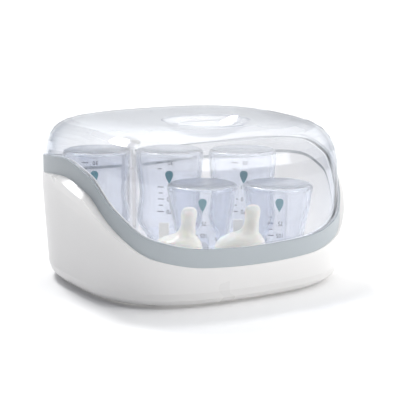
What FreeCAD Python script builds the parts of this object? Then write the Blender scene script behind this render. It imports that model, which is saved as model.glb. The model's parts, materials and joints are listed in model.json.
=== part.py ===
"""Steam steriliser for feeding bottles, heated in a microwave oven. It holds five bottles and two teats.

Millimetres, +Z up, origin on the table under the middle of the body, front towards -Y.
The body outline is a superellipse. Its rim dips at the front and rises to a shoulder at each side.
"""

import math
import os

import FreeCAD
import Part
from FreeCAD import Placement, Rotation, Vector

# ---------------------------------------------------------------- driving dimensions
HALF_WIDTH = 140.0          # body outline at the rim, along X
HALF_DEPTH = 129.0          # body outline at the rim, along Y
SQUARENESS = 2.88           # superellipse exponent of the outline
TOTAL_HEIGHT = 160.0        # top of the lid

# Rim height round the body: angle from the front in degrees, height of the band's upper edge.
RIM_LINE = [
    (0, 54), (25, 56), (45, 66), (60, 92), (72, 119), (90, 129), (115, 124), (145, 114), (180, 110),
]
BAND_HEIGHT = 17.0
BAND_INSET = 1.0            # band face behind the body outline
BAND_THICKNESS = 2.1
BAND_FOOT_HEIGHT = 3.0
BAND_FOOT_INSET = 7.8
UPSTAND_THICKNESS = 1.8     # white inner rim that stands on the band's foot
UPSTAND_DROP = 0.8          # its top edge below the band's

BASE_WALL = 3.6
BASE_DRAFT = 5.0            # how much narrower the wall is at the bottom than at the rim, each side
DRAFT_HEIGHT = 93.0
FOOT_PAD_HEIGHT = 2.0
FOOT_PAD_RADIUS = 9.0
FOOT_PAD_X = 86.0           # foot pads at (+-X, +-Y)
FOOT_PAD_Y = 78.0
FOOT_RADIUS = 14.0          # rounding where the wall meets the underside
FLOOR = 4.0
SHOULDER_FLARE = 7.0        # how far the grip lip stands out at each shoulder
SHOULDER_ANGLE = 77.0
SHOULDER_SPREAD = 22.0
FLARE_DECAY = 17.0
LEDGE_SLOPE = 0.55          # fall of the grip lip's upper face per mm outwards
POCKET_DEPTH = 6.0          # hollow behind the grip lip
POCKET_SPREAD = 9.0         # half-length of the hollow, in degrees round the body
POCKET_DROP = 5.0           # solid rim above the hollow

LID_WALL = 2.0
LID_INSET = 3.4
LID_BASE = 54.0             # level where the lid is widest
LID_FRONT_EXPONENT = 5.0
LID_BACK_EXPONENT = 9.5
LID_SEAT_GAP = 0.35
FLANGE_HEIGHT = 1.4
FLANGE_INSET = 1.7
DISH_CENTRE_Y = -27.0
DISH_RADIUS = 44.0
DISH_DEPTH = 15.0
GRIP_WIDTH = 9.0
VENT_RADIUS = 1.6
VENTS_X = (-12.0, 0.0, 12.0)
VENTS_Y = 62.0

RACK_TOP = 15.0
RACK_PLATE = 2.5
RACK_INSET = 14.0
RACK_RIM_HEIGHT = 9.0
RACK_RIM_WALL = 2.0
RACK_RIM_LEAN = 1.5
SEAT_RIB_HEIGHT = 2.0
LEGS = [(-82, -66), (82, -66), (-82, 70), (82, 70), (0, -62), (0, 78)]
LEG_RADIUS = 4.6            # at the plate; the foot is 1 mm less
LEG_CLEARANCE = 0.3         # between the legs and the tub's floor
POST_RADIUS = 7.5
POST_TAPER = 1.2
POST_TOP = 42.0
HANDLE_X = 112.0            # middle of each lifting arch
HANDLE_Y = 12.0
HANDLE_HALF_SPAN = 17.0
HANDLE_TOP = 84.0
HANDLE_THICKNESS = 3.0
HANDLE_WIDTH = 7.0
SLOT_LENGTH = 16.0
SLOT_WIDTH = 4.0
SLOT_PITCH_X = 30.0
SLOT_PITCH_Y = 22.0

BOTTLE_RADIUS = 34.5
BOTTLE_WALL = 1.6
BOTTLE_EDGE = 5.0           # rounding round the base
BOTTLE_DIMPLE = 3.0
NECK_RADIUS = 23.5
TALL_BOTTLE = 107.0
SHORT_BOTTLE = 83.0

# Bottle seats (x, y) on the rack: two staggered rows turned 30 degrees to the body.
TALL_SEATS = {
    "bottle_rear_left": (-71.0, 70.5),
    "bottle_rear_middle": (-7.0, 33.0),
    "bottle_rear_right": (57.0, -4.0),
}
SHORT_SEATS = {
    "bottle_front_left": (-11.0, -38.3),
    "bottle_front_right": (52.0, -74.3),
}
TEAT_SEATS = {"teat_left": (-57.5, -69.5), "teat_right": (0.0, -89.5)}
TEAT_LEAN = Vector(0.86, -0.51, 0)  # direction in which the drinking tip is offset
TEAT_SEAT_HEIGHT = 33.0
TEAT_WALL = 1.8
# Outside of a teat from its flange up: radius, height, how far the centre is offset to one side.
TEAT_SECTIONS = [
    (24.9, 0.0, 0.0), (24.9, 2.6, 0.0), (24.6, 4.4, 0.0), (24.4, 9.0, 0.0), (24.1, 13.5, 0.2),
    (22.8, 17.8, 0.8), (20.0, 21.4, 2.0), (15.8, 24.5, 4.0), (11.2, 27.0, 6.8), (8.7, 29.8, 9.0),
    (7.2, 34.0, 10.4), (6.8, 39.0, 11.0), (7.3, 44.0, 11.4), (7.4, 47.5, 11.6), (6.2, 51.0, 11.8),
    (3.4, 53.0, 11.9),
]
TEAT_PEG_HEIGHT = 9.0
# Bottle guides: x, y, turn about the upright axis, top.
GUIDES = [(-54.4, -39.7, -30, 66), (15.2, -62.2, -30, 66), (12.6, -3.5, -30, 38), (-54, 22, -30, 38)]
GUIDE_WIDTH = 10.0
GUIDE_THICKNESS = 2.6

TONGS_X = -18.4
TONGS_Y = 90.0              # front face of the arms
TONGS_PIVOT_Z = 126.0
TONGS_LENGTH = 109.5        # hinge bar to the end of the jaws
TONGS_ARM = 2.6
TONGS_DEPTH = 11.0
TONGS_GAP = 5.0
TONGS_JAW = 1.2             # how far each jaw reaches in
TONGS_NECK = 14.0
TONGS_EYE = 4.4
TONGS_PIN = 2.4
TONGS_PIN_FIT = 0.05
TONGS_BAR = 31.0
TONGS_BAR_Y = 78.0
TONGS_PLAY = 0.2            # clearance between the two eyes

RING_POINTS = 72            # points that define one turn of a rim or outline curve
UP = Vector(0, 0, 1)


# ---------------------------------------------------------------- outline and rim curves
def rim_height(angle):
    """Height of the band's upper edge at an angle from the front: a smooth curve through RIM_LINE."""
    a = abs((angle + 180.0) % 360.0 - 180.0)
    angles = [p[0] for p in RIM_LINE]
    heights = [p[1] for p in RIM_LINE]
    slopes = [0.0] * len(RIM_LINE)
    for i in range(1, len(RIM_LINE) - 1):
        before = (heights[i] - heights[i - 1]) / (angles[i] - angles[i - 1])
        after = (heights[i + 1] - heights[i]) / (angles[i + 1] - angles[i])
        slopes[i] = 2 * before * after / (before + after) if before * after > 0 else 0.0
    for i in range(len(RIM_LINE) - 1):
        if a <= angles[i + 1]:
            span = angles[i + 1] - angles[i]
            t = (a - angles[i]) / span
            return (
                heights[i] * (1 + 2 * t) * (1 - t) ** 2
                + heights[i + 1] * t * t * (3 - 2 * t)
                + slopes[i] * span * t * (1 - t) ** 2
                - slopes[i + 1] * span * t * t * (1 - t)
            )
    return heights[-1]


def shoulder(angle):
    """1 at the middle of each grip, falling smoothly to 0 away from it."""
    a = abs((angle + 180.0) % 360.0 - 180.0)
    return math.exp(-((abs(a - SHOULDER_ANGLE) / SHOULDER_SPREAD) ** 2.5))


def outline_radius(angle, half_width, half_depth, exponent=SQUARENESS):
    s = abs(math.sin(math.radians(angle)))
    c = abs(math.cos(math.radians(angle)))
    return ((s / half_width) ** exponent + (c / half_depth) ** exponent) ** (-1.0 / exponent)


def outline_point(angle, inset, height):
    r = outline_radius(angle, HALF_WIDTH - inset, HALF_DEPTH - inset)
    a = math.radians(angle)
    return Vector(r * math.sin(a), -r * math.cos(a), height)


def ring(inset, height):
    """Closed curve round the body. inset and height are numbers or functions of the angle."""
    def point(angle):
        d = inset(angle) if callable(inset) else inset
        h = height(angle) if callable(height) else height
        return outline_point(angle, d, h)
    return closed_curve(point)


def closed_curve(point):
    """Smooth closed wire through point(angle), starting at the back."""
    points = [point(360.0 * i / RING_POINTS + 180.0) for i in range(RING_POINTS)]
    curve = Part.BSplineCurve()
    curve.interpolate(
        Points=points, PeriodicFlag=True, Parameters=[float(i) for i in range(RING_POINTS + 1)]
    )
    return Part.Wire(curve.toShape())


def stack(wires):
    """Solid with flat ends through a stack of closed wires."""
    return Part.makeLoft(wires, True, True, False)


def hoop(wires):
    """Ring-shaped solid whose cross-section has one corner on each wire."""
    return Part.makeLoft(wires, True, True, True)


# ---------------------------------------------------------------- base
def band_foot(angle):
    return rim_height(angle) - BAND_HEIGHT


def draft(z):
    return BASE_DRAFT * max(0.0, 1 - z / DRAFT_HEIGHT)


def wall_inset(angle, z):
    """Inset of the base's outer face, with its draft, the rounding at the foot and the shoulder flare."""
    inset = draft(z)
    up = z - FOOT_PAD_HEIGHT
    if up < FOOT_RADIUS:
        inset += FOOT_RADIUS - math.sqrt(FOOT_RADIUS**2 - (FOOT_RADIUS - up) ** 2)
    below = max(0.0, lip_height(angle) - z)
    return inset - SHOULDER_FLARE * shoulder(angle) * math.exp(-below / FLARE_DECAY)


def lip_height(angle):
    """Level of the grip lip's outer edge, a little under the band."""
    return band_foot(angle) - LEDGE_SLOPE * SHOULDER_FLARE * shoulder(angle)


def pocket(angle):
    """1 behind each grip lip and 0 elsewhere, with steep ends."""
    a = abs((angle + 180.0) % 360.0 - 180.0)
    return math.exp(-(((a - SHOULDER_ANGLE) / POCKET_SPREAD) ** 6))


def inner_inset(angle, z):
    """Inset of the base's inner face, which has a pocket behind each grip lip."""
    below = max(0.0, band_foot(angle) - POCKET_DROP - z)
    inset = draft(z) + BASE_WALL - POCKET_DEPTH * pocket(angle) * math.exp(-below / FLARE_DECAY)
    radius = FOOT_RADIUS - BASE_WALL
    up = z - FOOT_PAD_HEIGHT - FLOOR
    if up < radius:
        inset += radius - math.sqrt(max(0.0, radius**2 - (radius - up) ** 2))
    return inset


def share_of_wall(top, share, start):
    """Height that is the given share of the way from `start` up to the curve `top`."""
    return lambda angle: start + (top(angle) - start) * share


def base_shell():
    corner = [FOOT_PAD_HEIGHT + FOOT_RADIUS * f for f in (0.0, 0.06, 0.22, 0.5, 1.0)]
    outer = [ring(lambda a, z=z: wall_inset(a, z), z) for z in corner]
    for share in (0.25, 0.45, 0.62, 0.76, 0.88, 1.0):
        height = share_of_wall(lip_height, share, corner[-1])
        outer.append(ring(lambda a, h=height: wall_inset(a, h(a)), height))
    rim = [ring(lambda a: BAND_INSET + draft(band_foot(a)), band_foot)]
    floor = FOOT_PAD_HEIGHT + FLOOR
    radius = FOOT_RADIUS - BASE_WALL
    inner = [ring(lambda a: draft(band_foot(a)) + BASE_WALL, band_foot)]
    for share in (0.96, 0.85, 0.7, 0.5, 0.25):
        height = share_of_wall(band_foot, share, floor + radius)
        inner.append(ring(lambda a, h=height: inner_inset(a, h(a)), height))
    corner = [floor + radius * f for f in (1.0, 0.5, 0.22, 0.06, 0.0)]
    inner += [ring(lambda a, z=z: inner_inset(a, z), z) for z in corner]
    return stack(outer + rim + inner)


def rim_band():
    """Grey band clipped on the base's edge, with an inner foot that carries the lid."""
    def face(depth, rise):
        return ring(lambda a: draft(band_foot(a)) + depth, lambda a: band_foot(a) + rise)
    inner = BAND_INSET + BAND_THICKNESS
    return hoop([
        face(BAND_INSET, 0.0),
        face(BAND_INSET, BAND_HEIGHT),
        face(inner, BAND_HEIGHT),
        face(inner, BAND_FOOT_HEIGHT),
        face(BAND_FOOT_INSET, BAND_FOOT_HEIGHT),
        face(BAND_FOOT_INSET, 0.0),
    ])


def inner_rim():
    """White upstand inside the band. The lid's edge drops into the groove between the two."""
    outer = BAND_FOOT_INSET - UPSTAND_THICKNESS

    def face(depth, height):
        return ring(lambda a: draft(band_foot(a)) + depth, height)

    def low(angle):
        return band_foot(angle) + BAND_FOOT_HEIGHT

    def high(angle):
        return rim_height(angle) - UPSTAND_DROP

    inner = BAND_FOOT_INSET
    return hoop([face(outer, low), face(outer, high), face(inner, high), face(inner, low)])


def foot_pads():
    pads = []
    for x in (-FOOT_PAD_X, FOOT_PAD_X):
        for y in (-FOOT_PAD_Y, FOOT_PAD_Y):
            pads.append(Part.makeCylinder(FOOT_PAD_RADIUS, FOOT_PAD_HEIGHT, Vector(x, y, 0)))
    return Part.makeCompound(pads)


# ---------------------------------------------------------------- lid
def lid_exponent(angle):
    swing = math.sin(math.radians(angle) / 2) ** 2
    return LID_FRONT_EXPONENT + (LID_BACK_EXPONENT - LID_FRONT_EXPONENT) * swing


def lid_seat(angle):
    return band_foot(angle) + BAND_FOOT_HEIGHT + LID_SEAT_GAP


def flange_foot(angle):
    return rim_height(angle) + LID_SEAT_GAP


def flange_top(angle):
    return flange_foot(angle) + FLANGE_HEIGHT


def lid_side(depth, height):
    """Curve round the lid's upright wall, `depth` behind the band's face."""
    return ring(lambda a: draft(band_foot(a)) + depth, height)


def lid_dome(thickness, step, start):
    """Curve round the dome, `step` of the way from the height curve `start` to the top of the lid."""
    rise = TOTAL_HEIGHT - thickness - LID_BASE

    def point(angle):
        m = lid_exponent(angle)
        low = max(0.0, (start(angle) - LID_BASE) / rise)
        first = math.asin(low ** (m / 2))
        turn = first + (math.pi / 2 - first) * step
        inset = LID_INSET + thickness + draft(band_foot(angle))
        r = outline_radius(angle, HALF_WIDTH - inset, HALF_DEPTH - inset) * math.cos(turn) ** (2 / m)
        a = math.radians(angle)
        return Vector(r * math.sin(a), -r * math.cos(a), LID_BASE + rise * math.sin(turn) ** (2 / m))

    return closed_curve(point)


def top_circle(radius, height):
    def point(angle):
        a = math.radians(angle)
        return Vector(radius * math.sin(a), -radius * math.cos(a), height)
    return closed_curve(point)


def dish_ball(grow):
    radius = (DISH_RADIUS**2 + DISH_DEPTH**2) / (2 * DISH_DEPTH)
    return Part.makeSphere(radius + grow, Vector(0, DISH_CENTRE_Y, TOTAL_HEIGHT - DISH_DEPTH + radius))


def lid_shell():
    steps = [0.04, 0.14, 0.25, 0.36, 0.47, 0.58, 0.69, 0.8, 0.9]
    inner = LID_INSET + LID_WALL
    outside = [
        lid_side(LID_INSET, lid_seat),
        lid_side(LID_INSET, flange_foot),
        lid_side(FLANGE_INSET, flange_foot),
        lid_side(FLANGE_INSET, flange_top),
        lid_side(LID_INSET, flange_top),
    ]
    outside += [lid_dome(0.0, s, flange_top) for s in steps] + [top_circle(8.0, TOTAL_HEIGHT)]
    inside = [top_circle(8.0, TOTAL_HEIGHT - LID_WALL)]
    inside += [lid_dome(LID_WALL, s, flange_top) for s in reversed(steps)]
    inside += [lid_side(inner, flange_top), lid_side(inner, lid_seat)]
    shell = hoop(outside + inside)
    below_top = TOTAL_HEIGHT - LID_WALL * 0.6
    slab = Part.makeBox(200, 200, 30, Vector(-100, DISH_CENTRE_Y - 100, below_top - 30))
    shell = shell.fuse(dish_ball(LID_WALL).common(slab))
    shell = shell.cut(dish_ball(0.0))
    for x in VENTS_X:
        shell = shell.cut(Part.makeCylinder(VENT_RADIUS, 20, Vector(x, VENTS_Y, TOTAL_HEIGHT - 12)))
    return shell


def lid_grip():
    """Upright fin across the dish, which the fingers pinch from both sides."""
    half = DISH_RADIUS - 1.0
    sag = GRIP_WIDTH / 2
    front = Part.Arc(Vector(-half, 0, 0), Vector(0, -sag, 0), Vector(half, 0, 0)).toShape()
    back = Part.Arc(Vector(half, 0, 0), Vector(0, sag, 0), Vector(-half, 0, 0)).toShape()
    lens = Part.Face(Part.Wire([front, back])).extrude(Vector(0, 0, DISH_DEPTH + 4))
    lens.translate(Vector(0, DISH_CENTRE_Y, TOTAL_HEIGHT - DISH_DEPTH - 5))
    return lens.common(dish_ball(-0.05))


# ---------------------------------------------------------------- rack
def rack_plate():
    """Plate with staggered drain slots that keep clear of its edge and of the posts."""
    plate = stack([ring(RACK_INSET, RACK_TOP - RACK_PLATE), ring(RACK_INSET, RACK_TOP)])
    slots = []
    for row in range(-4, 5):
        y = row * SLOT_PITCH_Y
        for column in range(-3, 4):
            x = column * SLOT_PITCH_X + (SLOT_PITCH_X / 2 if row % 2 else 0.0)
            end = math.hypot(abs(x) + SLOT_LENGTH / 2 + SLOT_WIDTH, y)
            angle = math.degrees(math.atan2(abs(x) + SLOT_LENGTH / 2 + SLOT_WIDTH, abs(y)))
            reach = outline_radius(angle, HALF_WIDTH - RACK_INSET, HALF_DEPTH - RACK_INSET)
            clear_of_posts = all(math.hypot(x - sx, y - sy) > 14 for sx, sy in seats())
            if end < reach - SLOT_WIDTH and clear_of_posts:
                slots.append(slot(x, y))
    return plate.cut(Part.makeCompound(slots))


def slot(x, y):
    """Rounded drain slot through the rack plate."""
    low = RACK_TOP - RACK_PLATE - 3.0
    high = RACK_PLATE + 6.0
    end = SLOT_LENGTH / 2
    body = Part.makeBox(SLOT_LENGTH, SLOT_WIDTH, high, Vector(x - end, y - SLOT_WIDTH / 2, low))
    left = Part.makeCylinder(SLOT_WIDTH / 2, high, Vector(x - end, y, low))
    right = Part.makeCylinder(SLOT_WIDTH / 2, high, Vector(x + end, y, low))
    return body.fuse([left, right]).removeSplitter()


def seats():
    return list(TALL_SEATS.values()) + list(SHORT_SEATS.values())


def rack_rim():
    """Upstand round the rack, leaning outwards a little."""
    def form(depth, low, high):
        return stack([
            ring(RACK_INSET - RACK_RIM_LEAN * share + depth, RACK_TOP + RACK_RIM_HEIGHT * share)
            for share in (low, high)
        ])
    return form(0.0, 0.0, 1.0).cut(form(RACK_RIM_WALL, -0.1, 1.1))


def rack_legs():
    floor = FOOT_PAD_HEIGHT + FLOOR + LEG_CLEARANCE
    height = RACK_TOP - RACK_PLATE - floor
    legs = [Part.makeCone(LEG_RADIUS - 1.0, LEG_RADIUS, height, Vector(x, y, floor)) for x, y in LEGS]
    return Part.makeCompound(legs)


def bottle_posts():
    """Tapered posts with a round tip, one under each bottle."""
    tip_radius = POST_RADIUS - POST_TAPER
    shaft_height = POST_TOP - tip_radius - RACK_TOP
    posts = []
    for x, y in seats():
        shaft = Part.makeCone(POST_RADIUS, tip_radius, shaft_height, Vector(x, y, RACK_TOP))
        tip = Part.makeSphere(tip_radius, Vector(x, y, POST_TOP - tip_radius))
        posts.append(shaft.fuse(tip).removeSplitter())
    return Part.makeCompound(posts)


def seat_ribs():
    """Three short ribs a seat hold the bottle's mouth clear of the plate, so that steam gets in."""
    ribs = []
    for x, y in seats():
        for k in range(3):
            rib = Part.makeBox(12.0, 2.0, SEAT_RIB_HEIGHT, Vector(15.0, -1.0, RACK_TOP))
            rib.Placement = Placement(Vector(x, y, 0), Rotation(UP, 30 + 120 * k))
            ribs.append(rib)
    return Part.makeCompound(ribs)


def bottle_guides():
    """Upright tabs that keep the bottles apart."""
    tabs = []
    for x, y, turn, top in GUIDES:
        corner = Vector(-GUIDE_WIDTH / 2, -GUIDE_THICKNESS / 2, RACK_TOP)
        tab = Part.makeBox(GUIDE_WIDTH, GUIDE_THICKNESS, top - RACK_TOP, corner)
        tab = tab.makeFillet(1.0, [e for e in tab.Edges if e.BoundBox.ZMax > top - 0.1])
        tab.Placement = Placement(Vector(x, y, 0), Rotation(UP, turn))
        tabs.append(tab)
    return Part.makeCompound(tabs)


def rack_handle(side):
    """Arch at one end of the rack, to lift it out by."""
    half = HANDLE_HALF_SPAN
    inner = half - HANDLE_WIDTH
    bend = HANDLE_TOP - half

    def at(y, z):
        return Vector(0, y, z)

    edges = line(at(-half, RACK_TOP), at(-half, bend))
    edges.append(Part.Arc(at(-half, bend), at(0, HANDLE_TOP), at(half, bend)).toShape())
    edges += line(at(half, bend), at(half, RACK_TOP), at(inner, RACK_TOP), at(inner, bend))
    edges.append(Part.Arc(at(inner, bend), at(0, HANDLE_TOP - HANDLE_WIDTH), at(-inner, bend)).toShape())
    edges += line(at(-inner, bend), at(-inner, RACK_TOP), at(-half, RACK_TOP))
    arch = Part.Face(Part.Wire(edges)).extrude(Vector(HANDLE_THICKNESS, 0, 0))
    arch.translate(Vector(side * HANDLE_X - HANDLE_THICKNESS / 2, HANDLE_Y, 0))
    return arch


def teat_stands():
    """A pillar, a disc and a short peg carry each teat."""
    seat = TEAT_SEAT_HEIGHT - 0.2
    profile = [
        (0, RACK_TOP), (7, RACK_TOP), (5.5, seat - 6), (22, seat - 3), (22, seat), (14, seat),
        (11.5, seat + TEAT_PEG_HEIGHT), (0, seat + TEAT_PEG_HEIGHT),
    ]
    stands = []
    for x, y in TEAT_SEATS.values():
        points = [Vector(r, 0, z) for r, z in profile]
        stand = Part.Face(Part.makePolygon(points + points[:1])).revolve(Vector(0, 0, 0), UP, 360)
        stand.translate(Vector(x, y, 0))
        stands.append(stand)
    return Part.makeCompound(stands)


# ---------------------------------------------------------------- load
def bottle_side(tall):
    """(radius, height over the mouth) up the outside of a bottle that stands on its mouth."""
    if tall:
        return [(NECK_RADIUS, 15), (25.5, 20), (32.0, 30), (33.6, 39), (31.2, 55), (32.0, 76), (34.3, 98)]
    return [(NECK_RADIUS, 15), (24.6, 20), (26.6, 34), (29.6, 50), (32.4, 65), (34.2, 77)]


def smooth(points):
    curve = Part.BSplineCurve()
    curve.interpolate(points)
    return curve.toShape()


def line(*points):
    """Straight edges through a run of points."""
    return [Part.makeLine(points[i], points[i + 1]) for i in range(len(points) - 1)]


def bottle(seat, height, tall):
    """Upturned bottle with two thread rings and a collar at its neck, and a shallow dimple in its base."""
    def at(radius, level):
        return Vector(radius, 0, level)

    shoulder_level = height - BOTTLE_EDGE
    flat = BOTTLE_RADIUS - BOTTLE_EDGE
    dimple_radius = (flat**2 + BOTTLE_DIMPLE**2) / (2 * BOTTLE_DIMPLE)

    def dimple(top):
        halfway = dimple_radius - math.sqrt(dimple_radius**2 - (flat / 2) ** 2)
        return Part.Arc(
            at(flat, top), at(flat / 2, top - BOTTLE_DIMPLE + halfway), at(0, top - BOTTLE_DIMPLE)
        ).toShape()

    def corner(depth):
        r = BOTTLE_EDGE - depth
        diagonal = r * math.sqrt(0.5)
        return Part.Arc(
            at(BOTTLE_RADIUS - depth, shoulder_level), at(flat + diagonal, shoulder_level + diagonal),
            at(flat, shoulder_level + r),
        ).toShape()

    def side(depth):
        levels = bottle_side(tall) + [(BOTTLE_RADIUS, shoulder_level)]
        return smooth([at(r - depth, z) for r, z in levels])

    neck = [at(NECK_RADIUS - BOTTLE_WALL, 0), at(NECK_RADIUS, 0)]
    for low, high, out in ((2.2, 4.6, 1.3), (7.2, 9.6, 1.3), (12.4, 14.2, 1.9)):
        neck += [
            at(NECK_RADIUS, low), at(NECK_RADIUS + out, low + 0.5),
            at(NECK_RADIUS + out, high - 0.5), at(NECK_RADIUS, high),
        ]
    neck.append(at(NECK_RADIUS, 15))
    edges = line(*neck) + [side(0.0), corner(0.0), dimple(height)]
    edges += line(at(0, height - BOTTLE_DIMPLE), at(0, height - BOTTLE_DIMPLE - BOTTLE_WALL))
    edges += [dimple(height - BOTTLE_WALL), corner(BOTTLE_WALL), side(BOTTLE_WALL)]
    edges += line(at(NECK_RADIUS - BOTTLE_WALL, 15), at(NECK_RADIUS - BOTTLE_WALL, 0))
    body = Part.Face(Part.Wire(edges)).revolve(Vector(0, 0, 0), UP, 360)
    body.translate(Vector(seat[0], seat[1], RACK_TOP + SEAT_RIB_HEIGHT + 0.1))
    return body


def teat_form(inset):
    """Silicone teat: round flange, shallow dome and a drinking tip that stands to one side."""
    wires = []
    for r, h, lean in TEAT_SECTIONS:
        drop = 0.0 if inset == 0.0 else max(h * 0.03, 1.0 if h == 0.0 else 0.0)
        centre = TEAT_LEAN * lean + Vector(0, 0, h - drop - (inset if h > 49 else 0.0))
        wires.append(Part.Wire(Part.makeCircle(max(r - inset, 1.2), centre, UP)))
    return Part.makeLoft(wires, True, False)


def teat(seat):
    body = teat_form(0.0).cut(teat_form(TEAT_WALL))
    body.translate(Vector(seat[0], seat[1], TEAT_SEAT_HEIGHT))
    return body


# ---------------------------------------------------------------- tongs
def tongs_arm(side):
    """Slim arm, hanging from the hinge bar down to a jaw on the rack. The two eyes sit side by side."""
    low = TONGS_PIVOT_Z - TONGS_LENGTH
    inner = TONGS_GAP / 2
    outer = inner + TONGS_ARM
    eye_y = TONGS_Y if side < 0 else TONGS_Y + TONGS_DEPTH / 2 + TONGS_PLAY
    eye_depth = TONGS_DEPTH / 2 - TONGS_PLAY
    shank = [
        (inner, TONGS_PIVOT_Z - TONGS_NECK), (outer, TONGS_PIVOT_Z - TONGS_NECK), (outer, low),
        (inner - TONGS_JAW, low), (inner - TONGS_JAW, low + 14), (inner, low + 18),
    ]
    neck = [
        (0.6, TONGS_PIVOT_Z), (TONGS_EYE - 0.4, TONGS_PIVOT_Z),
        (outer, TONGS_PIVOT_Z - TONGS_NECK), (outer, TONGS_PIVOT_Z - TONGS_NECK - 3),
        (inner, TONGS_PIVOT_Z - TONGS_NECK - 3), (inner, TONGS_PIVOT_Z - TONGS_NECK),
    ]
    arm = plate(shank, side, TONGS_Y, TONGS_DEPTH)
    arm = arm.fuse(plate(neck, side, eye_y, eye_depth))
    eye = Part.makeCylinder(TONGS_EYE, eye_depth, Vector(TONGS_X, eye_y, TONGS_PIVOT_Z), Vector(0, 1, 0))
    arm = arm.fuse(eye)
    return arm.cut(hinge_bar(TONGS_PIN + TONGS_PIN_FIT)).removeSplitter()


def hinge_bar(radius):
    start = Vector(TONGS_X, TONGS_BAR_Y, TONGS_PIVOT_Z)
    return Part.makeCylinder(radius, TONGS_BAR, start, Vector(0, 1, 0))


def plate(outline, side, y, depth):
    """Flat plate. Its outline is given as distances from the tongs' centre plane, and heights."""
    points = [Vector(TONGS_X + side * x, y, z) for x, z in outline]
    return Part.Face(Part.makePolygon(points + points[:1])).extrude(Vector(0, depth, 0))


def tongs_bar():
    """Hinge bar, which also serves as the finger rest."""
    bar = hinge_bar(TONGS_PIN)
    return bar.makeFillet(1.0, bar.Edges)


# ---------------------------------------------------------------- output
def parts():
    made = {
        "base_shell": base_shell,
        "rim_band": rim_band,
        "inner_rim": inner_rim,
        "foot_pads": foot_pads,
        "lid_shell": lid_shell,
        "lid_grip": lid_grip,
        "rack_plate": rack_plate,
        "rack_rim": rack_rim,
        "rack_legs": rack_legs,
        "rack_handle_left": lambda: rack_handle(-1),
        "rack_handle_right": lambda: rack_handle(1),
        "bottle_posts": bottle_posts,
        "seat_ribs": seat_ribs,
        "bottle_guides": bottle_guides,
        "teat_stands": teat_stands,
        "tongs_left_arm": lambda: tongs_arm(-1),
        "tongs_right_arm": lambda: tongs_arm(1),
        "tongs_bar": tongs_bar,
    }
    for name, seat in TALL_SEATS.items():
        made[name] = lambda seat=seat: bottle(seat, TALL_BOTTLE, True)
    for name, seat in SHORT_SEATS.items():
        made[name] = lambda seat=seat: bottle(seat, SHORT_BOTTLE, False)
    for name, seat in TEAT_SEATS.items():
        made[name] = lambda seat=seat: teat(seat)
    return made


def main():
    os.makedirs("parts", exist_ok=True)
    for name, make in parts().items():
        shape = make()
        box = shape.BoundBox
        counts = f"solids {len(shape.Solids)} valid {shape.isValid()} volume {shape.Volume:10.0f}"
        print(f"{name:20s} {counts}  z {box.ZMin:6.1f} to {box.ZMax:6.1f}")
        shape.exportStep(f"parts/{name}.step")


main()
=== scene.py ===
import json
import math

import bpy
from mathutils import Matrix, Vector


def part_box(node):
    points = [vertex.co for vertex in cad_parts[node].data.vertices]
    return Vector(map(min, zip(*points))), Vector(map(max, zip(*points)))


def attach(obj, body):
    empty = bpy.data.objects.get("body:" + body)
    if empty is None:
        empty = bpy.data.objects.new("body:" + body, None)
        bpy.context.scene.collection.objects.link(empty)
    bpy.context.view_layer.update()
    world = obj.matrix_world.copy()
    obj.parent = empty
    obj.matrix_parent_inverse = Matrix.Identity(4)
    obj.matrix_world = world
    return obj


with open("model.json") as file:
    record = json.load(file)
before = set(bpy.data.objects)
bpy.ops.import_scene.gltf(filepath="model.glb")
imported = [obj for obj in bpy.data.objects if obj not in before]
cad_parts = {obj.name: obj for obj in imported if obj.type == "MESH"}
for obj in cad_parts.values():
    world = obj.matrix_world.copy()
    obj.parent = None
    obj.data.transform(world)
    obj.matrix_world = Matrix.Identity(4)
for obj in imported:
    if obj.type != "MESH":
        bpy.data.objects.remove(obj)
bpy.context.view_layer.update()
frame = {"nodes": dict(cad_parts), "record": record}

MM = 0.001
nodes = frame["nodes"]

# ---------------------------------------------------------------- view
VIEW_AZIMUTH = -30.4        # degrees round from the front, towards -X
VIEW_ELEVATION = 11.3
VIEW_DISTANCE = 1.236
VIEW_TARGET = (0, 0, 0.067)
LENS = 110.9
LENS_SHIFT = (0.0198, 0.022)
SENSOR_WIDTH = 36.0
VIEW_FAR_END = 50           # metres

# ---------------------------------------------------------------- floor and light
FLOOR_SIZE = 30
KEY_PLACE = (0.9, -1.6, 1.2)
KEY_SIZE = (1.2, 0.8)
KEY_POWER = 11
BACK_TOWARDS = (0.02, 0.8, 1.0)
BACK_STRENGTH = 2.0
BACK_SOFTNESS = 14          # degrees
SKY_LEFT = (0.12, 0.13, 0.16)
SKY_RIGHT = (1, 1, 1)

# ---------------------------------------------------------------- prints on the bottles
PRINT_FACING = VIEW_AZIMUTH
PRINT_LIFT = 0.12 * MM      # how far a print stands off the bottle
LEVEL_STEP = 6.2 * MM
FIRST_LEVEL = 9 * MM        # below the upturned base
LONG_BAR = 7.0 * MM
SHORT_BAR = 4.5 * MM
BAR_HEIGHT = 0.8 * MM
BAR_SHIFT = -9.5 * MM
NUMBER_SIZE = 6.0 * MM
NUMBER_SHIFT = 1.5 * MM
DROP_HEIGHT = 14 * MM
DROP_CLEARANCE = 7 * MM     # levels nearer than this to the drop's middle are left out
TALL_DROP_DEPTH = 24 * MM   # middle of the drop below the upturned base
SHORT_DROP_DEPTH = 16 * MM
DROP_WIDTH = 0.42           # half the drop's width over its height, before its sides pull in
DROP_PINCH = 1.6            # how sharply its sides pull in to the point
TALL_LEVELS = 9
TALL_STEP_ML = 30
SHORT_LEVELS = 7
SHORT_STEP_ML = 15


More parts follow.
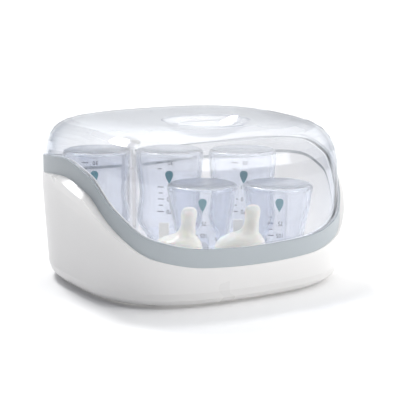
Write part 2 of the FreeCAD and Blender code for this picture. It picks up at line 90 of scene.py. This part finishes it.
# ---------------------------------------------------------------- camera, floor and light
def make_camera():
    azimuth = math.radians(VIEW_AZIMUTH)
    elevation = math.radians(VIEW_ELEVATION)
    back = Vector((
        math.sin(azimuth) * math.cos(elevation),
        -math.cos(azimuth) * math.cos(elevation),
        math.sin(elevation),
    ))
    data = bpy.data.cameras.new("camera")
    data.lens = LENS
    data.sensor_width = SENSOR_WIDTH
    data.shift_x, data.shift_y = LENS_SHIFT
    data.clip_end = VIEW_FAR_END
    camera = bpy.data.objects.new("camera", data)
    camera.location = Vector(VIEW_TARGET) + back * VIEW_DISTANCE
    camera.rotation_mode = "QUATERNION"
    camera.rotation_quaternion = (-back).to_track_quat("-Z", "Y")
    bpy.context.scene.collection.objects.link(camera)
    bpy.context.scene.camera = camera


def aimed_light(name, data, place, travel):
    """Links a light at a place, shining in the direction `travel`."""
    light = bpy.data.objects.new(name, data)
    light.location = place
    light.rotation_mode = "QUATERNION"
    light.rotation_quaternion = travel.to_track_quat("-Z", "Y")
    bpy.context.scene.collection.objects.link(light)


def area_light(name, place, size, power):
    data = bpy.data.lights.new(name, "AREA")
    data.shape = "RECTANGLE"
    data.size, data.size_y = size
    data.energy = power
    aimed_light(name, data, place, Vector(VIEW_TARGET) - Vector(place))


def sun_light(name, towards, strength, softness):
    """Light from far away, in the direction `towards`; softness is its width in degrees."""
    data = bpy.data.lights.new(name, "SUN")
    data.energy = strength
    data.angle = math.radians(softness)
    aimed_light(name, data, (0, 0, 1), -Vector(towards))


def make_studio():
    bpy.ops.mesh.primitive_plane_add(size=FLOOR_SIZE)
    floor = bpy.context.object
    floor.name = "floor"
    floor.data.materials.append(floor_paint())
    area_light("key", KEY_PLACE, KEY_SIZE, KEY_POWER)
    sun_light("back", BACK_TOWARDS, BACK_STRENGTH, BACK_SOFTNESS)
    bpy.context.scene.world = make_sky()
    bpy.context.scene.view_settings.view_transform = "Standard"


def make_sky():
    """Pale surroundings with soft panels, brightest overhead and dimmer on the -X side."""
    world = bpy.data.worlds.new("studio")
    world.use_nodes = True
    tree = world.node_tree
    link = tree.links.new
    sky = tree.nodes["Background"]
    place = tree.nodes.new("ShaderNodeTexCoord")
    split = tree.nodes.new("ShaderNodeSeparateXYZ")
    link(place.outputs["Generated"], split.inputs[0])
    sideways = remap(tree, split.outputs["X"], -1.0, 1.0, 0.0, 1.0)
    shade = colour_ramp(tree, sideways, [(0.15, SKY_LEFT), (0.68, SKY_RIGHT)])
    upward = remap(tree, split.outputs["Z"], 0.0, 1.0, 0.42, 1.32)
    panels = remap(tree, noise(tree, 2.6, 0.0, (1, 1, 0.4), "Generated"), 0.42, 0.58, 0.6, 1.4)
    strength = arithmetic(tree, "MULTIPLY", upward, panels)
    link(shade, sky.inputs["Color"])
    link(strength, sky.inputs["Strength"])
    return world


# ---------------------------------------------------------------- shader pieces
def new_material(name):
    material = bpy.data.materials.new(name)
    material.use_nodes = True
    tree = material.node_tree
    tree.nodes.clear()
    output = tree.nodes.new("ShaderNodeOutputMaterial")
    return material, tree, output


def arithmetic(tree, operation, first, second):
    """Math node; `first` is a socket, `second` a socket or a number."""
    node = tree.nodes.new("ShaderNodeMath")
    node.operation = operation
    tree.links.new(first, node.inputs[0])
    if isinstance(second, (int, float)):
        node.inputs[1].default_value = second
    else:
        tree.links.new(second, node.inputs[1])
    return node.outputs[0]


def remap(tree, value, from_low, from_high, low, high):
    """Maps the range from_low to from_high to the range low to high, clamped."""
    node = tree.nodes.new("ShaderNodeMapRange")
    node.inputs["From Min"].default_value = from_low
    node.inputs["From Max"].default_value = from_high
    node.inputs["To Min"].default_value = low
    node.inputs["To Max"].default_value = high
    tree.links.new(value, node.inputs["Value"])
    return node.outputs[0]


def colour_ramp(tree, value, stops):
    ramp = tree.nodes.new("ShaderNodeValToRGB")
    for element, (position, colour) in zip(ramp.color_ramp.elements, stops):
        element.position = position
        element.color = (*colour, 1)
    tree.links.new(value, ramp.inputs["Fac"])
    return ramp.outputs["Color"]


def noise(tree, scale, detail=2.0, stretch=(1, 1, 1), space="Object"):
    """Noise over the object, with `scale` cells per metre."""
    place = tree.nodes.new("ShaderNodeTexCoord")
    mapping = tree.nodes.new("ShaderNodeMapping")
    mapping.inputs["Scale"].default_value = stretch
    texture = tree.nodes.new("ShaderNodeTexNoise")
    texture.inputs["Scale"].default_value = scale
    texture.inputs["Detail"].default_value = detail
    tree.links.new(place.outputs[space], mapping.inputs["Vector"])
    tree.links.new(mapping.outputs["Vector"], texture.inputs["Vector"])
    return texture.outputs["Fac"]


def drift(tree, scale, low, high):
    """Value that wanders between low and high over the object."""
    return remap(tree, noise(tree, scale), 0.3, 0.7, low, high)


def bump(tree, value, depth):
    """Surface relief; depth in metres."""
    node = tree.nodes.new("ShaderNodeBump")
    node.inputs["Distance"].default_value = depth
    tree.links.new(value, node.inputs["Height"])
    return node.outputs[0]


def mix_shaders(tree, share, first, second):
    """`share` of the second shader over the first."""
    node = tree.nodes.new("ShaderNodeMixShader")
    tree.links.new(share, node.inputs["Fac"])
    tree.links.new(first, node.inputs[1])
    tree.links.new(second, node.inputs[2])
    return node.outputs[0]


def edge_on(tree, head_on, power):
    """`head_on` face on, rising to 1 edge on, the same from both sides of a thin wall."""
    facing = tree.nodes.new("ShaderNodeLayerWeight")
    facing.inputs["Blend"].default_value = 0.5
    curve = arithmetic(tree, "POWER", facing.outputs["Facing"], power)
    return remap(tree, curve, 0.0, 1.0, head_on, 1.0)


def facing_up(tree, low, high):
    """`low` on upright faces, rising to `high` on level ones."""
    geometry = tree.nodes.new("ShaderNodeNewGeometry")
    split = tree.nodes.new("ShaderNodeSeparateXYZ")
    tree.links.new(geometry.outputs["Normal"], split.inputs[0])
    level = arithmetic(tree, "ABSOLUTE", split.outputs["Z"], 0.0)
    return remap(tree, level, 0.2, 0.95, low, high)


def facing_inward(tree, strength):
    """`strength` on the faces that look at the middle of the object, and 0 on the outer ones."""
    geometry = tree.nodes.new("ShaderNodeNewGeometry")
    flat = tree.nodes.new("ShaderNodeVectorMath")
    flat.operation = "MULTIPLY"
    flat.inputs[1].default_value = (1, 1, 0)
    unit = tree.nodes.new("ShaderNodeVectorMath")
    unit.operation = "NORMALIZE"
    dot = tree.nodes.new("ShaderNodeVectorMath")
    dot.operation = "DOT_PRODUCT"
    link = tree.links.new
    link(geometry.outputs["Position"], flat.inputs[0])
    link(flat.outputs[0], unit.inputs[0])
    link(unit.outputs[0], dot.inputs[0])
    link(geometry.outputs["True Normal"], dot.inputs[1])
    return remap(tree, dot.outputs["Value"], 0.25, -0.25, 0.0, strength)


# ---------------------------------------------------------------- materials
def floor_paint():
    material, tree, output = new_material("floor_paint")
    shader = tree.nodes.new("ShaderNodeBsdfPrincipled")
    shader.inputs["Base Color"].default_value = (0.98, 0.98, 0.98, 1)
    shader.inputs["Roughness"].default_value = 0.9
    tree.links.new(shader.outputs[0], output.inputs["Surface"])
    return material


def moulded(name, colour, roughness, grain=2600.0, depth=0.02 * MM, painted_inner_glow=0.0):
    """Moulded plastic: fine grain, drifting roughness and slightly cloudy colour.

    The inward glow is painted light: an emission on the faces that look inwards, which lifts the
    shade inside the tub and rack.
    """
    material, tree, output = new_material(name)
    link = tree.links.new
    shader = tree.nodes.new("ShaderNodeBsdfPrincipled")
    darker = [c * 0.988 for c in colour]
    lighter = [min(1.0, c * 1.012) for c in colour]
    cloud = colour_ramp(tree, noise(tree, 14.0), [(0.3, darker), (0.7, lighter)])
    link(cloud, shader.inputs["Base Color"])
    link(drift(tree, 18.0, roughness - 0.03, roughness + 0.03), shader.inputs["Roughness"])
    link(bump(tree, noise(tree, grain), depth), shader.inputs["Normal"])
    # painted light: the inward faces glow to brighten the shaded inside
    if painted_inner_glow:
        shader.inputs["Emission Color"].default_value = (*colour, 1)
        link(facing_inward(tree, painted_inner_glow), shader.inputs["Emission Strength"])
    link(shader.outputs[0], output.inputs["Surface"])
    return material


def lid_plastic(name):
    """Thin clear plastic with a faint haze: clear on the upright walls, a painted reflection of
    overhead light as a milky layer on level faces, bluish and darker edge on.
    """
    material, tree, output = new_material(name)
    link = tree.links.new
    through = tree.nodes.new("ShaderNodeBsdfTransparent")
    face_tint = (0.99, 0.992, 0.997)
    edge_tint = (0.80, 0.84, 0.90)
    tint = colour_ramp(tree, edge_on(tree, 0.0, 3.0), [(0.0, face_tint), (1.0, edge_tint)])
    link(tint, through.inputs["Color"])
    # faint real haze on the walls plus a painted reflection of the overhead light: the milky layer
    # rises to 0.3 on level faces
    haze_and_painted_highlight = tree.nodes.new("ShaderNodeBsdfDiffuse")
    haze_and_painted_highlight.inputs["Color"].default_value = (0.97, 0.975, 0.985, 1)
    body = mix_shaders(tree, facing_up(tree, 0.03, 0.3), through.outputs[0], haze_and_painted_highlight.outputs[0])
    shine = tree.nodes.new("ShaderNodeBsdfGlossy")
    shine.inputs["Color"].default_value = (0.85, 0.86, 0.88, 1)
    link(drift(tree, 20.0, 0.03, 0.065), shine.inputs["Roughness"])
    link(bump(tree, noise(tree, 9.0, 1.0), 0.6 * MM), shine.inputs["Normal"])
    skin = mix_shaders(tree, edge_on(tree, 0.04, 5.0), body, shine.outputs[0])
    link(skin, output.inputs["Surface"])
    return material


def bottle_plastic(name):
    """Clear moulded plastic that bends light, with uneven walls and painted highlights as milky
    white edges.

    Its shadow lets light through.
    """
    material, tree, output = new_material(name)
    link = tree.links.new
    body = tree.nodes.new("ShaderNodeBsdfPrincipled")
    body.inputs["Base Color"].default_value = (0.90, 0.922, 0.975, 1)
    body.inputs["Transmission Weight"].default_value = 1.0
    body.inputs["IOR"].default_value = 1.5
    link(drift(tree, 30.0, 0.01, 0.03), body.inputs["Roughness"])
    link(bump(tree, noise(tree, 26.0, 2.0, (1, 1, 0.35)), 1.8 * MM), body.inputs["Normal"])
    # painted highlight: a white translucent layer rising to full at the edges stands in for the
    # bright rims
    haze_and_painted_highlight = tree.nodes.new("ShaderNodeBsdfTranslucent")
    haze_and_painted_highlight.inputs["Color"].default_value = (0.95, 0.97, 1.0, 1)
    edged = mix_shaders(tree, edge_on(tree, 0.02, 2.5), body.outputs[0], haze_and_painted_highlight.outputs[0])
    through = tree.nodes.new("ShaderNodeBsdfTransparent")
    through.inputs["Color"].default_value = (0.95, 0.96, 0.985, 1)
    path = tree.nodes.new("ShaderNodeLightPath")
    skin = mix_shaders(tree, path.outputs["Is Shadow Ray"], edged, through.outputs[0])
    link(skin, output.inputs["Surface"])
    return material


def silicone(name, colour):
    """Soft translucent rubber with a damp shine."""
    material, tree, output = new_material(name)
    link = tree.links.new
    body = tree.nodes.new("ShaderNodeBsdfPrincipled")
    body.inputs["Base Color"].default_value = (*colour, 1)
    body.inputs["Subsurface Weight"].default_value = 0.4
    body.inputs["Subsurface Scale"].default_value = 4 * MM
    # painted light: a faint emission that brightens the rubber
    body.inputs["Emission Color"].default_value = (*colour, 1)
    body.inputs["Emission Strength"].default_value = 0.12
    link(drift(tree, 90.0, 0.1, 0.2), body.inputs["Roughness"])
    link(bump(tree, noise(tree, 160.0), 0.2 * MM), body.inputs["Normal"])
    through = tree.nodes.new("ShaderNodeBsdfTransparent")
    through.inputs["Color"].default_value = (0.97, 0.97, 0.95, 1)
    skin = mix_shaders(tree, edge_on(tree, 0.24, 1.6), through.outputs[0], body.outputs[0])
    link(skin, output.inputs["Surface"])
    return material


def give(material, name):
    """Puts the material in every material slot of a piece."""
    piece = nodes[name]
    if not piece.material_slots:
        piece.data.materials.append(material)
    for place in piece.material_slots:
        place.material = material


# ---------------------------------------------------------------- prints
def flat_text(text, size):
    """(points, faces) of a line of text, centred on the origin."""
    curve = bpy.data.curves.new("text", "FONT")
    curve.body = text
    curve.size = size
    curve.align_x = "CENTER"
    curve.align_y = "CENTER"
    curve.resolution_u = 2
    shape = bpy.data.objects.new("text", curve)
    mesh = bpy.data.meshes.new_from_object(shape)
    points = [(v.co.x, v.co.y) for v in mesh.vertices]
    faces = [tuple(f.vertices) for f in mesh.polygons]
    bpy.data.objects.remove(shape)
    bpy.data.curves.remove(curve)
    bpy.data.meshes.remove(mesh)
    return points, faces


def bar(width, height, steps=5):
    points = []
    for i in range(steps + 1):
        x = width * (i / steps - 0.5)
        points += [(x, -height / 2), (x, height / 2)]
    faces = [(2 * i, 2 * i + 2, 2 * i + 3, 2 * i + 1) for i in range(steps)]
    return points, faces


def drop(height, steps=28):
    """Water drop, point up, as a fan of triangles."""
    points = [(0.0, 0.0)]
    for i in range(steps):
        turn = 2 * math.pi * i / steps
        pinch = math.sin(turn / 2) ** DROP_PINCH
        points.append((DROP_WIDTH * height * math.sin(turn) * pinch, 0.5 * height * math.cos(turn)))
    faces = [(0, 1 + i, 1 + (i + 1) % steps) for i in range(steps)]
    return points, faces


def print_on(node, body, name, ink, shapes):
    """Lays flat shapes upside down on a bottle's outer face.

    Each shape is (points, faces, shift, level), with the shift to one side and the level in metres.
    """
    low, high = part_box(node)
    centre = (low + high) / 2
    radius = (high.x - low.x) / 2
    facing = math.radians(PRINT_FACING)
    ahead = Vector((math.sin(facing), -math.cos(facing), 0))
    across = Vector((math.cos(facing), math.sin(facing), 0))
    points = []
    faces = []
    for shape_points, shape_faces, shift, level in shapes:
        first = len(points)
        for x, y in shape_points:
            turn = (shift - x) / radius
            outward = ahead * math.cos(turn) + across * math.sin(turn)
            start = Vector((centre.x, centre.y, level - y)) + outward * 2 * radius
            found, place, normal, _ = nodes[node].ray_cast(start, -outward)
            points.append(place + normal * PRINT_LIFT if found else start - outward * radius)
        faces += [tuple(first + i for i in f) for f in shape_faces]
    mesh = bpy.data.meshes.new(name)
    mesh.from_pydata(points, [], faces)
    mesh.materials.append(ink)
    piece = bpy.data.objects.new(name, mesh)
    bpy.context.scene.collection.objects.link(piece)
    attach(piece, body)


def print_bottle(node, body, drop_depth, levels, step_ml):
    """Scale of bars and volumes down an upturned bottle, with a plain water drop."""
    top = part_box(node)[1].z
    shapes = []
    for i in range(levels):
        level = top - FIRST_LEVEL - i * LEVEL_STEP
        if abs(level - (top - drop_depth)) < DROP_CLEARANCE:
            continue
        shapes.append((*bar(SHORT_BAR if i % 2 else LONG_BAR, BAR_HEIGHT), BAR_SHIFT, level))
        if i % 2 == 0:
            shapes.append((*flat_text(str(step_ml * (i + 1)), NUMBER_SIZE), NUMBER_SHIFT, level))
    print_on(node, body, node + "_scale", scale_ink, shapes)
    print_on(node, body, node + "_drop", drop_ink, [(*drop(DROP_HEIGHT), 0.0, top - drop_depth)])


# ---------------------------------------------------------------- scene
make_camera()
make_studio()

finishes = {
    # the shell and rack get a painted inward glow that brightens their shaded inner faces
    "white_shell": moulded("white_shell", (0.82, 0.81, 0.80), 0.3, painted_inner_glow=0.42),
    "grey_band": moulded("grey_band", (0.44, 0.48, 0.505), 0.42, 1800.0, 0.08 * MM),
    "clear_lid": lid_plastic("clear_lid"),
    "rack_white": moulded("rack_white", (0.84, 0.84, 0.85), 0.34, painted_inner_glow=0.3),
    "clear_bottle": bottle_plastic("clear_bottle"),
    "silicone": silicone("silicone", (0.97, 0.96, 0.90)),
    "tongs_cream": moulded("tongs_cream", (0.85, 0.82, 0.72), 0.4),
    "pad_grey": moulded("pad_grey", (0.4, 0.4, 0.4), 0.7, 900.0, 0.2 * MM),
}
for part in frame["record"]["subparts"]:
    give(finishes[part["material_slot"]], part["node"])
for name in ("inner_rim", "tongs_left_arm", "tongs_right_arm"):
    give(finishes["rack_white"], name)

scale_ink = moulded("scale_ink", (0.04, 0.05, 0.10), 0.5)
drop_ink = moulded("drop_ink", (0.10, 0.27, 0.34), 0.45)
for body, members in frame["record"]["behaviour"]["bodies"].items():
    for node in members:
        if node.startswith("bottle_rear"):
            print_bottle(node, body, TALL_DROP_DEPTH, TALL_LEVELS, TALL_STEP_ML)
        elif node.startswith("bottle_front"):
            print_bottle(node, body, SHORT_DROP_DEPTH, SHORT_LEVELS, SHORT_STEP_ML)
